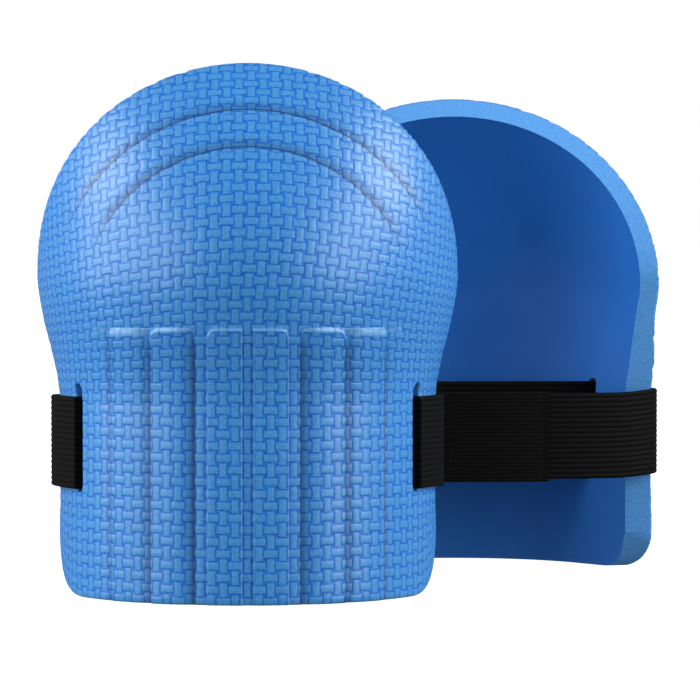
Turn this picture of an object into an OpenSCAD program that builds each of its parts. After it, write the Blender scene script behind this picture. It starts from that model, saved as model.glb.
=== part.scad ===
// A pair of moulded foam knee pads. Each pad is one foam shell with a slot on both sides, and one
// elastic strap that runs across the inside, out through the slots and round behind the leg,
// where a hook tab closes on a loop patch.
// Both pads stand on their lower edges with their open sides towards each other. +Z is up, and
// the front pad's outer face looks to -Y.

/* [Foam shell] */
// Height of the front pad
pad_h = 202.5; // [190:0.5:215]
// Half width of the front pad's knee dome
dome_half_w = 81; // [77:0.5:86]
// Half width of the shin part before its flaps are spread
shin_half_w = 72.4; // [69:0.2:75]
// Height of the middle of the knee dome
knee_z = 122.5; // [115:0.5:130]
// Depth of the shell at the shin
shin_depth = 62; // [58:1:68]
// Depth of the shell at the knee
knee_depth = 70; // [66:1:78]
// How far the dome's top leans back from the front of the knee
dome_lean = 45; // [30:1:50]
// How square the dome's shoulders are, seen from the front: 2 is an ellipse
dome_fullness = 2.15; // [2:0.05:2.4]
// Angle round the section, from the middle of the front, where its side edges are
edge_angle = 78.6; // [74:0.2:82]
// Thickness of the foam
wall = 8; // [6:0.5:10]
// Height where the shin part starts to widen towards the dome
taper_z = 72; // [66:1:80]
// Radius of the front pad's lower corners, seen from the side
corner_r = 24; // [12:1:26]

/* [Rear pad, opened a little] */
// How much lower the opened pad stands
rear_drop = 7.7; // [0:0.1:12]
// How much lower its dome middle sits
rear_knee_drop = 5.7; // [0:0.1:8]
// How much wider its dome is on each side
rear_dome_spread = 3; // [0:0.5:5]
// How far each of its flaps leans outwards
rear_flare = 8.6; // [0:0.2:10]
// How much thicker the lean makes the cut edge
rear_cut_extra = 3; // [0:0.5:4]
// How much lower its strap runs
rear_strap_drop = 1.6; // [0:0.2:4]
// How much lower its slots are
rear_slot_drop = 2.8; // [0:0.2:4]
// Radius of its lower corners, seen from the side
rear_corner_r = 15; // [12:1:26]

/* [Ribs] */
// Height of the ribs' upper ends
rib_top = 102.6; // [94:0.2:106]
// How far the inner ribs stand proud
rib_rise = 2; // [0.5:0.1:3]
// How far the outer ribs stand proud
side_rib_rise = 1.2; // [0.3:0.1:2]

/* [Strap] */
// Width of the elastic webbing
strap_w = 35; // [30:1:38]
// Thickness of the elastic webbing
strap_t = 1.6; // [1.2:0.1:2]
// Height of the strap's lower edge
strap_z = 41; // [36:0.5:46]
// Thickness of the hook and the loop patch
patch_t = 0.9; // [0.6:0.1:1.2]
// Where the hook tab hinges, from the middle of the pad
tab_root_x = 12; // [8:1:16]
// Where the hook tab ends
tab_end_x = -35.5; // [-42:0.5:-30]
// Where the loop arm ends, under the hook tab
loop_end_x = -5; // [-8:1:-2]
// How far the front pad's strap bows out behind it
front_bow = 16; // [12:1:18]
// How far the rear pad's strap bows out behind it
rear_bow = 26; // [20:1:28]

/* [Slots] */
// Height of the slots' middles
slot_mid_z = 60.3; // [55:0.1:64]
// Height of a slot
slot_h = 41; // [40:0.5:46]
// Width of a slot
slot_w = 5; // [4:0.5:6]
// Angle of the slots round the shell, from the middle of the front
slot_angle = 60; // [57:0.5:62]

/* [Placing] */
// Sideways distance between the pads' middles
pad_shift_x = 85.9; // [70:0.1:110]
// Distance between the pads' open sides
rim_gap = 105; // [100:1:130]

/* [Hidden] */

// A pad's shape: height, dome half width, dome middle height, flap lean, extra cut edge, strap
// bow, height of the strap's lower edge and of the slots' middles, lower corner radius
FRONT = [pad_h, dome_half_w, knee_z, 0, 0, front_bow, strap_z, slot_mid_z, corner_r];
REAR = [
    pad_h - rear_drop, dome_half_w + rear_dome_spread, knee_z - rear_knee_drop,
    rear_flare, rear_cut_extra, rear_bow, strap_z - rear_strap_drop, slot_mid_z - rear_slot_drop,
    rear_corner_r
];
function height(pad) = pad[0];
function dome_w(pad) = pad[1];
function dome_z(pad) = pad[2];
function flare(pad) = pad[3];
function cut_extra(pad) = pad[4];
function bow(pad) = pad[5];
function strap_low(pad) = pad[6];
function slot_z(pad) = pad[7];
function lower_corner_r(pad) = pad[8];

rear_x = (pad_shift_x - rear_dome_spread) / 2;
front_x = rear_x - pad_shift_x;

gap = 0.3;
sew_gap = 0.06;
flare_low_z = 78;
flare_high_z = 110;
lap_offset = strap_t + 2 * patch_t + gap + 2 * sew_gap;
slot_inner_reach = 1.2;

foam_blue = [0.2, 0.5, 0.85];
webbing_black = [0.08, 0.08, 0.09];
hook_grey = [0.16, 0.16, 0.17];
loop_grey = [0.22, 0.22, 0.23];
thread_grey = [0.3, 0.3, 0.32];

// ---- The shell's surface ----

function clamp01(v) = max(0, min(1, v));
function ease(v) = let (u = clamp01(v)) u * u * (3 - 2 * u);

// How far up the dome a height is: 0 at its middle and below, 1 at its upper edge
function dome_rise(pad, z, inset = 0) =
    min(1, max(0, z - dome_z(pad)) / (height(pad) - inset - dome_z(pad)));
function widen(pad, z) = ease((z - taper_z) / (dome_z(pad) - taper_z));

// Each section is part of an ellipse that keeps its size over the dome and leans back with it.
// inset is 0 on the outer face and wall on the inner face.
function half_span(pad, z) =
    (shin_half_w + (dome_w(pad) - shin_half_w) * widen(pad, z)) / sin(edge_angle);
function reach(pad, z) =
    (shin_depth + (knee_depth - shin_depth) * widen(pad, z)) / (1 - cos(edge_angle));
function end_angle(pad, z, inset) =
    let (
        s = dome_rise(pad, z, inset),
        low_end = acos(reach(pad, z) * cos(edge_angle) / (reach(pad, z) - inset))
    )
    asin(sin(low_end) * sqrt(1 - pow(s, dome_fullness)));

// How far the flap leans out at this height and depth, from the slot to the side edge
function flap_depth() = -reach(FRONT, 0) * (cos(edge_angle) - cos(slot_angle));
function lean(z, y, amount) =
    amount * (1 - ease((z - flare_low_z) / (flare_high_z - flare_low_z)))
    * pow(clamp01(1 + y / flap_depth()), 1.2);

// A point of the section at height z, t degrees round from the middle of the front
function section(pad, z, t, inset = 0) =
    let (
        back = reach(pad, z) * cos(edge_angle) + dome_lean * pow(dome_rise(pad, z, inset), 2),
        x = (half_span(pad, z) - inset) * sin(t),
        y = back - (reach(pad, z) - inset) * cos(t),
        amount = flare(pad) - cut_extra(pad) * inset / wall
    )
    [x + sign(t) * lean(z, y, amount), y];

// The section's outward normal, and a point a set distance off the outer face
function section_normal(pad, z, t) =
    let (
        a = section(pad, z, t - 0.5),
        b = section(pad, z, t + 0.5),
        d = (b - a) / norm(b - a)
    )
    [d[1], -d[0]];
function off_surface(pad, z, t, distance) =
    section(pad, z, t) + distance * section_normal(pad, z, t);

// ---- The shell's mesh ----

// Half of the rib pattern: from the middle outwards, [start, end, rise]
RIBS = [[2, 15.1, rib_rise], [19.9, 36.2, rib_rise], [36.2, 50.9, side_rib_rise]];
rib_edge = 0.4;
function rib_height(x, z) =
    z > rib_top ? 0 : max([for (rib = RIBS)
        abs(x) > rib[0] && abs(x) < rib[1] ? rib[2] : 0]);

// Columns of the mesh: the rib edges first, then steps of angle that grow finer towards the rim
rib_edges = [RIBS[0][0], RIBS[0][1], RIBS[1][0], RIBS[2][0], RIBS[2][1]];
rib_columns = concat(
    [0],
    [for (i = [0 : 4]) each concat(
        [rib_edges[i] - rib_edge, rib_edges[i] + rib_edge],
        i < 4 ? [(rib_edges[i] + rib_edges[i + 1]) / 2] : []
    )]
);
side_steps = 12;
side_fineness = 1.6;
half_columns = len(rib_columns) + side_steps;
column_count = 2 * half_columns - 1;

// The angle of a column round its section: the ribs keep their width up to their top, and over
// the dome all columns draw together
function rib_angle(pad, z, i) =
    asin(rib_columns[i] / half_span(pad, min(z, rib_top)))
    * end_angle(pad, z, 0) / end_angle(pad, 0, 0);
function half_angle(pad, z, i) =
    let (ribs = len(rib_columns), end = end_angle(pad, z, 0))
    i < ribs
        ? rib_angle(pad, z, i)
        : end - (end - rib_angle(pad, z, ribs - 1)) * pow(1 - (i - ribs + 1) / side_steps, side_fineness);
function column_angle(pad, z, c) =
    let (i = c - half_columns + 1) sign(i) * half_angle(pad, z, abs(i));

// Rows of the mesh: levels up to the dome middle, then even steps of angle over the dome
low_rows = [0, 6, 12, 18, 26, 34, 42, 51, 60, 69, 77, 85, 93, rib_top - rib_edge, rib_top + rib_edge];
dome_steps = 12;
top_ring_angle = 85;
function row_heights(pad) = concat(
    low_rows,
    [(rib_top + dome_z(pad)) / 2],
    [for (i = [0 : dome_steps - 1])
        dome_z(pad) + (height(pad) - dome_z(pad)) * sin(top_ring_angle * i / (dome_steps - 1))]
);

// The lower corners are lifted near the side edges
lift_top = 34;
function corner_lift(pad, t) =
    let (
        r = lower_corner_r(pad),
        inward = r - min(r, max(0, -section(pad, 0, t)[1]))
    )
    r - sqrt(r * r - inward * inward);
function lifted(pad, z, t) = z >= lift_top ? z : z + corner_lift(pad, t) * (1 - z / lift_top);

function outer_point(pad, row_z, c) =
    let (
        t = column_angle(pad, row_z, c),
        z = lifted(pad, row_z, t),
        p = off_surface(pad, z, t, rib_height(section(pad, z, t)[0], row_z))
    )
    [p[0], p[1], z];

// The inner face stops one wall below the outer face's upper edge
function inner_point(pad, row_z, c) =
    let (
        outer_t = column_angle(pad, row_z, c),
        z = row_z <= dome_z(pad)
            ? lifted(pad, row_z, outer_t)
            : dome_z(pad) + dome_rise(pad, row_z) * (height(pad) - wall - dome_z(pad)),
        t = outer_t * end_angle(pad, z, wall) / end_angle(pad, row_z, 0),
        p = section(pad, z, t, wall)
    )
    [p[0], p[1], z];

function quad(a, b, c, d) = [[a, b, c], [a, c, d]];

module shell_body(pad) {
    rows = row_heights(pad);
    row_count = len(rows);
    size = row_count * column_count;
    outer = [for (z = rows, c = [0 : column_count - 1]) outer_point(pad, z, c)];
    inner = [for (z = rows, c = [0 : column_count - 1]) inner_point(pad, z, c)];
    outer_top = 2 * size;
    inner_top = outer_top + 1;
    last = column_count - 1;
    top = (row_count - 1) * column_count;
    faces = concat(
        [for (r = [0 : row_count - 2], c = [0 : last - 1])
            let (i = r * column_count + c)
            each quad(i, i + column_count, i + column_count + 1, i + 1)],
        [for (r = [0 : row_count - 2], c = [0 : last - 1])
            let (i = size + r * column_count + c)
            each quad(i, i + 1, i + column_count + 1, i + column_count)],
        [for (c = [0 : last - 1]) each quad(c, c + 1, size + c + 1, size + c)],
        [for (r = [0 : row_count - 2])
            let (i = r * column_count)
            each quad(i, size + i, size + i + column_count, i + column_count)],
        [for (r = [0 : row_count - 2])
            let (i = r * column_count + last)
            each quad(i, i + column_count, size + i + column_count, size + i)],
        [for (c = [0 : last - 1]) [top + c, outer_top, top + c + 1]],
        [for (c = [0 : last - 1]) [size + top + c, size + top + c + 1, inner_top]],
        quad(top, size + top, inner_top, outer_top),
        quad(top + last, outer_top, inner_top, size + top + last)
    );
    outer_peak = section(pad, height(pad), 0);
    inner_peak = section(pad, height(pad) - wall, 0, wall);
    peaks = [
        [0, outer_peak[1], height(pad)],
        [0, inner_peak[1], height(pad) - wall]
    ];
    polyhedron(
        points = concat(outer, inner, peaks),
        faces = faces
    );
}

// A tall slot with round ends, cut square through the wall
module slot_cut(pad, side) {
    p = section(pad, slot_z(pad), side * slot_angle);
    n = section_normal(pad, slot_z(pad), side * slot_angle);
    translate([p[0] - n[0] * wall / 2, p[1] - n[1] * wall / 2, slot_z(pad)])
        rotate([0, 0, atan2(n[1], n[0])]) {
            cube([3 * wall, slot_w, slot_h - slot_w], center = true);
            for (end = [-1, 1])
                translate([0, 0, end * (slot_h - slot_w) / 2])
                    rotate([0, 90, 0])
                        cylinder(h = 3 * wall, d = slot_w, center = true, $fn = 32);
        }
}

module foam_shell(pad) {
    color(foam_blue)
        difference() {
            shell_body(pad);
            slot_cut(pad, -1);
            slot_cut(pad, 1);
        }
}

// ---- Webbing ----

// The left side of a path, at a set distance: each corner is mitred
function unit(v) = v / norm(v);
function side_of(path, i, distance) =
    let (
        last = len(path) - 1,
        before = unit(path[max(1, i)] - path[max(1, i) - 1]),
        after = unit(path[min(last, i + 1)] - path[min(last, i + 1) - 1]),
        mid = unit(before + after),
        normal = [-mid[1], mid[0]]
    )
    path[i] + normal * distance / max(0.3, mid * before);
function ribbon(path, thickness) = concat(
    [for (i = [0 : len(path) - 1]) side_of(path, i, thickness / 2)],
    [for (i = [len(path) - 1 : -1 : 0]) side_of(path, i, -thickness / 2)]
);
module webbing(path, thickness, width, z) {
    translate([0, 0, z])
        linear_extrude(height = width)
            polygon(ribbon(path, thickness));
}

function mirrored(path) = [for (i = [len(path) - 1 : -1 : 0]) [-path[i][0], path[i][1]]];
wrap_steps = 8;
wrap_offset = gap + strap_t / 2;

function strap_top(pad) = strap_low(pad) + strap_w;

// From the rim on the +X side, along the outer face to the slot, through it and to the inside
function wrap_path(pad) =
    let (
        p = section(pad, slot_z(pad), slot_angle),
        n = section_normal(pad, slot_z(pad), slot_angle)
    )
    concat(
        [for (i = [0 : wrap_steps - 1])
            off_surface(
                pad, strap_top(pad), edge_angle - (edge_angle - slot_angle) * i / wrap_steps, wrap_offset)],
        [p + n * wrap_offset * 1.3, p - n * (wall + slot_inner_reach)]
    );

module strap_band(pad) {
    half = wrap_path(pad);
    color(webbing_black)
        webbing(concat(half, mirrored(half)), strap_t, strap_w, strap_low(pad));
}

// The strap behind the leg is half an ellipse from rim to rim
function rim_x(pad) = off_surface(pad, strap_top(pad), edge_angle, wrap_offset)[0];
function back_normal(pad, a) = unit([cos(a) / rim_x(pad), sin(a) / bow(pad)]);
function back_point(pad, a, offset) =
    [rim_x(pad) * cos(a), bow(pad) * sin(a)] + offset * back_normal(pad, a);
function back_angle(pad, x) = acos(x / rim_x(pad));
start_angle = 1.4;
arm_steps = 16;
tab_steps = 8;
tab_gap_x = 0.4;
ramp_start = 30;
ramp_end = 62;
function back_path(pad, from, to, offset, steps) =
    [for (i = [0 : steps]) back_point(pad, from + (to - from) * i / steps, offset)];

module hook_arm(pad) {
    end_angle = back_angle(pad, tab_root_x + tab_gap_x);
    path = [for (i = [0 : arm_steps])
        let (a = start_angle + (end_angle - start_angle) * i / arm_steps)
        back_point(pad, a, lap_offset * ease((a - ramp_start) / (ramp_end - ramp_start)))];
    color(webbing_black)
        webbing(path, strap_t, strap_w, strap_low(pad));
}

module hook_tab(pad) {
    path = back_path(
        pad, back_angle(pad, tab_root_x), back_angle(pad, tab_end_x), lap_offset, tab_steps);
    color(webbing_black)
        webbing(path, strap_t, strap_w, strap_low(pad));
}

patch_margin = 1;
patch_w = strap_w - 2 * patch_margin;
module patch(pad, from_x, to_x, offset) {
    path = back_path(pad, back_angle(pad, from_x), back_angle(pad, to_x), offset, tab_steps);
    webbing(path, patch_t, patch_w, strap_low(pad) + patch_margin);
}

// The hook patch is on the tab's inner side and the loop patch on the loop arm's outer side
hook_patch_offset = lap_offset - strap_t / 2 - patch_t / 2 - sew_gap;
loop_patch_offset = strap_t / 2 + patch_t / 2 + sew_gap;
module hook_patch(pad) {
    color(hook_grey)
        patch(pad, tab_root_x - 6, tab_end_x + patch_margin, hook_patch_offset);
}

module loop_arm(pad) {
    path = back_path(
        pad, 180 - start_angle, back_angle(pad, loop_end_x), 0, arm_steps);
    color(webbing_black)
        webbing(path, strap_t, strap_w, strap_low(pad));
}

module loop_patch(pad) {
    color(loop_grey)
        patch(pad, loop_end_x - patch_margin, tab_end_x + patch_margin, loop_patch_offset);
}

// ---- Stitching: rows of separate short stitches across the webbing ----

stitch_l = 2.4;
stitch_pitch = 3.3;
stitch_d = 0.5;
stitch_count = floor((strap_w - 4) / stitch_pitch);
module stitch_row(pad, x, offset) {
    a = back_angle(pad, x);
    p = back_point(pad, a, offset);
    first_z = strap_low(pad) + (strap_w - (stitch_count - 1) * stitch_pitch - stitch_l) / 2;
    for (i = [0 : stitch_count - 1])
        translate([p[0], p[1], first_z + i * stitch_pitch])
            cylinder(h = stitch_l, d = stitch_d, $fn = 16);
}

stitch_stand_off = 0.02;
hook_stitch_offset = lap_offset + strap_t / 2 + stitch_d / 2 + stitch_stand_off;
loop_stitch_offset = -(strap_t / 2 + stitch_d / 2 + stitch_stand_off);
module hook_stitching(pad) {
    color(thread_grey)
        for (x = [tab_end_x + 2.4, tab_root_x - 8])
            stitch_row(pad, x, hook_stitch_offset);
}

module loop_stitching(pad) {
    color(thread_grey)
        for (x = [loop_end_x - 3, tab_end_x + 3])
            stitch_row(pad, x, loop_stitch_offset);
}

// ---- Placing ----

module front() {
    translate([front_x, -rim_gap / 2, 0])
        children();
}
module rear() {
    translate([rear_x, rim_gap / 2, 0])
        rotate([0, 0, 180])
            children();
}

front() foam_shell(FRONT);  // front_foam_shell
front() strap_band(FRONT);  // front_strap_band
front() hook_arm(FRONT);  // front_hook_arm
front() hook_tab(FRONT);  // front_hook_tab
front() hook_patch(FRONT);  // front_hook_patch
front() hook_stitching(FRONT);  // front_hook_stitching
front() loop_arm(FRONT);  // front_loop_arm
front() loop_patch(FRONT);  // front_loop_patch
front() loop_stitching(FRONT);  // front_loop_stitching
rear() foam_shell(REAR);  // rear_foam_shell
rear() strap_band(REAR);  // rear_strap_band
rear() hook_arm(REAR);  // rear_hook_arm
rear() hook_tab(REAR);  // rear_hook_tab
rear() hook_patch(REAR);  // rear_hook_patch
rear() hook_stitching(REAR);  // rear_hook_stitching
rear() loop_arm(REAR);  // rear_loop_arm
rear() loop_patch(REAR);  // rear_loop_patch
rear() loop_stitching(REAR);  // rear_loop_stitching
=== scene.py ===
import math
from types import SimpleNamespace

import bmesh
import bpy
import numpy as np
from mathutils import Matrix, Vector


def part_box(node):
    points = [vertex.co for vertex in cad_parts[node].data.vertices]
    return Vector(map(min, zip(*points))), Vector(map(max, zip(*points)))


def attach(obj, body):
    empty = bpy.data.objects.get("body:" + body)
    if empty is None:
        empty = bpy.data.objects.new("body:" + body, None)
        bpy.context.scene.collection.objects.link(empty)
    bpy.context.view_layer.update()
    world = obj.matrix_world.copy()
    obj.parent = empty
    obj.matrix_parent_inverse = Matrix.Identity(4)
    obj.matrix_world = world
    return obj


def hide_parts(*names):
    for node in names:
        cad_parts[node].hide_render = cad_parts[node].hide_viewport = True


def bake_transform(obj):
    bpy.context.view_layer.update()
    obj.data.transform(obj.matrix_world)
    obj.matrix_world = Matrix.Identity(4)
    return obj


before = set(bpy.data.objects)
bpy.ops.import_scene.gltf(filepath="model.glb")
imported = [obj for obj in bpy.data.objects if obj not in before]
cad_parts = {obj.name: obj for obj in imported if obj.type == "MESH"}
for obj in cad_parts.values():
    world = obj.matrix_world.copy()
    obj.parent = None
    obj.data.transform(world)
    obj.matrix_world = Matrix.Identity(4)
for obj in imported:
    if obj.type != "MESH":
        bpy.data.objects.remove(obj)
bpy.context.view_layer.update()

# Lengths are in millimetres in a pad's own frame until a mesh is made: the origin is the middle of
# the side edges at the bottom, the outer face looks to -Y and +Z is up. The frame is in metres.
MM = 0.001

# ---- The shell's shape, with the same values as the CAD model ----

SHIN_HALF_W = 72.4
SHIN_DEPTH = 62
DOME_LEAN = 45
DOME_FULLNESS = 2.15
EDGE_ANGLE = math.radians(78.6)
WALL = 8
TAPER_Z = 72
LIFT_TOP = 34
FLARE_LOW_Z = 78
FLARE_HIGH_Z = 110
LEAN_POWER = 1.2
SLOT_ANGLE = math.radians(60)
SLOT_H = 41
SLOT_W = 5
RIB_TOP = 102.6
COS_EDGE = math.cos(EDGE_ANGLE)
SIN_EDGE = math.sin(EDGE_ANGLE)
FLAP_DEPTH = SHIN_DEPTH / (1 - COS_EDGE) * (math.cos(SLOT_ANGLE) - COS_EDGE)
# Radii of the rounding at the shell's free edge and round its slots
EDGE_ROUND = 1.2
SLOT_ROUND = 0.9
# Millimetres across the inner face for each radian round it
INNER_UV_SCALE = 80

# The strap: its thickness, patches and gaps, and the places of its tab, from the pad's middle
STRAP_T = 1.6
PATCH_T = 0.9
GAP = 0.3
SEW_GAP = 0.06
TAB_ROOT_X = 12
TAB_END_X = -35.5
LOOP_END_X = -5
TAB_SPREAD = 1.6
LAP_OFFSET = STRAP_T + 2 * PATCH_T + GAP + 2 * SEW_GAP
# Angles round the arc behind the leg: where an arm starts, and where the tab climbs onto the lap
START_ANGLE = math.radians(1.4)
RAMP_START = math.radians(30)
RAMP_END = math.radians(62)


def make_pad(name, turn, dome_drop, **shape):
    """One pad's values: its size and place come from its CAD nodes' boxes."""
    low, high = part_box(f"{name}_foam_shell")
    strap_low, strap_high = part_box(f"{name}_strap_band")
    height = (high.z - low.z) / MM
    return SimpleNamespace(
        name=name,
        turn=turn,
        height=height,
        dome_w=(high.x - low.x) / MM / 2,
        dome_z=height - dome_drop,
        knee_depth=(high.y - low.y) / MM,
        origin=np.array([(low.x + high.x) / 2, high.y if turn > 0 else low.y, low.z]),
        strap_z=strap_low.z / MM,
        strap_w=(strap_high.z - strap_low.z) / MM,
        slot_z=(strap_low.z + strap_high.z) / MM / 2 + shape["slot_rise"],
        **shape,
    )


# dome_drop: from the top down to the dome's middle. flare: lean of the flaps. cut_extra: how much
# thicker that makes the cut edge. corner_r: radius of the lower corners, seen from the side. bow:
# depth of the strap's arc. slot_rise: slot middle above the strap's. sag and lift: how far the
# strap hangs behind the leg and rises inside the pad. bulge: how far it stands off at the rim.
PADS = [
    make_pad(
        "front", 1, dome_drop=80, flare=0, cut_extra=0, corner_r=24,
        bow=16, slot_rise=1.8, sag=0, lift=0, bulge=1.2,
    ),
    make_pad(
        "rear", -1, dome_drop=78, flare=8.6, cut_extra=3, corner_r=15,
        bow=26, slot_rise=0.6, sag=1.2, lift=2.2, bulge=0,
    ),
]


def ease(v):
    """0 up to 0 and 1 from 1 on, with a smooth way between."""
    u = np.clip(v, 0, 1)
    return u * u * (3 - 2 * u)


def run_along(points):
    """Distance along a row of points, from its first to each of them."""
    steps = np.linalg.norm(np.diff(points, axis=0), axis=1)
    return np.concatenate([[0], np.cumsum(steps)])


def to_row_frame(pad, points):
    """Local millimetres to metres in the row frame; the rear pad is turned half round."""
    points = np.asarray(points, float)
    turned = points * np.array([pad.turn, pad.turn, 1]) * MM
    return turned + pad.origin


def rise(pad, z, inset=0):
    """0 up to the dome's middle and 1 at the top."""
    return np.clip((z - pad.dome_z) / (pad.height - inset - pad.dome_z), 0, 1)


def widen(pad, z):
    """0 on the shin and 1 at the dome's middle."""
    return ease((z - TAPER_Z) / (pad.dome_z - TAPER_Z))


def half_span(pad, z):
    """Half width of the ellipse that the section at this height lies on."""
    return (SHIN_HALF_W + (pad.dome_w - SHIN_HALF_W) * widen(pad, z)) / SIN_EDGE


def reach(pad, z):
    """Half depth of the same ellipse."""
    return (SHIN_DEPTH + (pad.knee_depth - SHIN_DEPTH) * widen(pad, z)) / (1 - COS_EDGE)


def end_angle(pad, z, inset=0):
    """Angle at which the section ends: the rim on the shin, closing in over the dome."""
    s = rise(pad, z, inset)
    low_end = np.arccos(reach(pad, z) * COS_EDGE / (reach(pad, z) - inset))
    return np.arcsin(np.sin(low_end) * np.sqrt(1 - s ** DOME_FULLNESS))


def section(pad, z, t, inset=0):
    """x and y at height z, at angle t round from the middle of the front."""
    back = reach(pad, z) * COS_EDGE + DOME_LEAN * rise(pad, z, inset) ** 2
    x = (half_span(pad, z) - inset) * np.sin(t)
    y = back - (reach(pad, z) - inset) * np.cos(t)
    amount = pad.flare - pad.cut_extra * inset / WALL
    lean = amount * (1 - ease((z - FLARE_LOW_Z) / (FLARE_HIGH_Z - FLARE_LOW_Z)))
    lean = lean * np.clip(1 + y / FLAP_DEPTH, 0, 1) ** LEAN_POWER
    return x + np.sign(t) * lean, y


def corner_lift(pad, outer_t):
    """How far the lower corners are lifted near the side edges."""
    y = section(pad, 0.0, outer_t)[1]
    inward = pad.corner_r - np.clip(-y, 0, pad.corner_r)
    return pad.corner_r - np.sqrt(pad.corner_r ** 2 - inward ** 2)


def surface(pad, z, t, inset=0):
    """Points of the outer face, or of the inner face where inset is the wall's thickness."""
    x, y = section(pad, z, t, inset)
    outer_t = t * end_angle(pad, 0.0) / end_angle(pad, 0.0, inset)
    lift = corner_lift(pad, outer_t) * np.clip(1 - z / LIFT_TOP, 0, 1)
    return np.stack([x, y, z + lift], axis=-1)


def outward(pad, z, t, inset=0):
    """The unit normal of the surface, pointing away from the wearer's knee."""
    step_t, step_z = 0.004, 0.08
    across = surface(pad, z, t + step_t, inset) - surface(pad, z, t - step_t, inset)
    up = surface(pad, z, t, inset) - surface(pad, z - step_z, t, inset)
    n = np.cross(across, up)
    return n / np.linalg.norm(n, axis=-1, keepdims=True)


# ---- The weave: rows and columns of a checkered basket weave ----

PITCH_U = 4.33
PITCH_V = 4.43
PHASE_U = -0.08
PHASE_V = 0.32
BRICK_EDGE = 0.24
GROOVE_EDGE = 0.34
WEAVE_LINES = [-GROOVE_EDGE, -BRICK_EDGE, BRICK_EDGE, GROOVE_EDGE, 0.5]
WEAVE_DEPTH = 0.1
# How far a brick falls away to its ends, and the height of the ends that dip under the next
BRICK_CROWN = 0.2
END_LEVEL = 0.7
# Over the dome the woven sheet is stretched sideways, and its columns drift to +X
STRETCH = 0.055
DRIFT = 1.7
STRETCH_HEIGHT = 45
# The rows droop towards the sides, more and more over this range of heights
DROOP = 0.5
DROOP_DEPTH = 42
DROOP_LOW_Z = 60
DROOP_HIGH_Z = 170


def weave_height(u, v):
    """0 in the grooves to 1 on the bricks; u and v are in pitches."""
    cell_u, cell_v = np.round(u), np.round(v)
    a, b = np.abs(u - cell_u), np.abs(v - cell_v)
    odd = (cell_u + cell_v) % 2 > 0.5
    a, b = np.where(odd, b, a), np.where(odd, a, b)
    own = 1 - ease((b - BRICK_EDGE) / (GROOVE_EDGE - BRICK_EDGE))
    own = own * (1 - BRICK_CROWN * ease((a - 0.1) / 0.4))
    end = ease((b - GROOVE_EDGE) / (0.5 - GROOVE_EDGE))
    end = END_LEVEL * end * (1 - ease((a - BRICK_EDGE) / (GROOVE_EDGE - BRICK_EDGE)))
    return np.maximum(own, end)


def row_height(pad, middle_z, t):
    """Height at angle t of the weave row that crosses the middle at middle_z."""
    middle_y = section(pad, middle_z, 0.0)[1]
    droop = DROOP * ease((middle_z - DROOP_LOW_Z) / (DROOP_HIGH_Z - DROOP_LOW_Z))
    z = middle_z + 0 * t
    for _ in range(10):
        depth = section(pad, z, t)[1] - middle_y
        z = middle_z - droop * DROOP_DEPTH * (1 - np.exp(-np.maximum(depth, 0) / DROOP_DEPTH))
    return z


def weave_lines(low, high, pitch, phase, extra):
    """All the weave's lines from low to high, with extra ones, in millimetres."""
    cells = np.arange(math.floor(low / pitch) - 2, math.ceil(high / pitch) + 2)
    lines = (cells[:, None] + np.array(WEAVE_LINES)[None, :] + phase).ravel() * pitch
    lines = lines[(lines > low + 0.1) & (lines < high - 0.1)]
    lines = [x for x in lines if np.min(np.abs(np.array(extra) - x)) > 0.12]
    return np.array(sorted(lines + list(extra)))


# ---- Raised features of the outer face ----

# Ribs, from the middle outwards: start, end, level at the start and at the end, height of the
# bevel at the top, radius of the top corners at the start and at the end. Each outer rib sinks
# towards the foot of the next one inwards.
RIBS = [
    (2.0, 15.1, 0.75, 0.75, 0.8, 0.1, 3.6),
    (19.9, 36.2, -1.1, 0.9, 1.3, 2.5, 4.6),
    (36.2, 50.9, -1.2, 0.6, 3.0, 0.1, 1.5),
    (50.9, 57.0, -0.6, 0.0, 1.6, 0.1, 1.5),
]
RIB_EDGE = 0.14
RIB_SINK_POWER = 3.5

# Steps over the dome: radius and height of the middle of their circles, seen from the front
TIERS = [(74.6, 109.4), (63.0, 106.8)]
TIER_EDGE = 0.12
TIER_FADE_START = 50
TIER_FADE_END = 69
# Depth and width of the dip outside a step, and height and width of the step inside it
TIER_DIP = 0.7
TIER_DIP_W = 5
TIER_STEP = 0.25
TIER_STEP_W = 6


def arc_at(pad, x):
    """Distance along the outer face, from its middle, of the point x wide at the bottom."""
    t = np.linspace(0, math.asin(min(1, x / half_span(pad, 0.0))), 200)
    return float(run_along(surface(pad, 0 * t, t)[:, :2])[-1])


def rib_outline(pad, rib, size, z):
    """Distance from a rib's outline, less than 0 inside: its sides, top and top corners."""
    start, end, start_corner, end_corner = arc_at(pad, rib[0]), arc_at(pad, rib[1]), rib[5], rib[6]
    middle = (start + end) / 2
    corner = np.where(size > middle, end_corner, start_corner)
    across = np.abs(size - middle) - ((end - start) / 2 - corner)
    up = z - (RIB_TOP - corner)
    outside = np.hypot(np.maximum(across, 0), np.maximum(up, 0))
    return outside + np.minimum(np.maximum(across, up), 0) - corner


def rib_rise(pad, u, z):
    """Height of the ribs; u is in millimetres from the middle."""
    size = np.abs(u)
    total = 0 * u
    for rib in RIBS:
        start, end, start_level, end_level, bevel = rib[:5]
        a, b = arc_at(pad, start), arc_at(pad, end)
        inside = ease((RIB_EDGE - rib_outline(pad, rib, size, z)) / (2 * RIB_EDGE))
        part = np.clip((size - a) / (b - a), 0, 1)
        level = end_level + (start_level - end_level) * (1 - part) ** RIB_SINK_POWER
        total = total + inside * level * ease((RIB_TOP - z) / bevel + 0.2)
    return total


def tier_distance(points, tier):
    """Distance outwards from a step's circle."""
    radius, middle_z = tier
    return np.hypot(points[..., 0], points[..., 2] - middle_z) - radius


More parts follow.
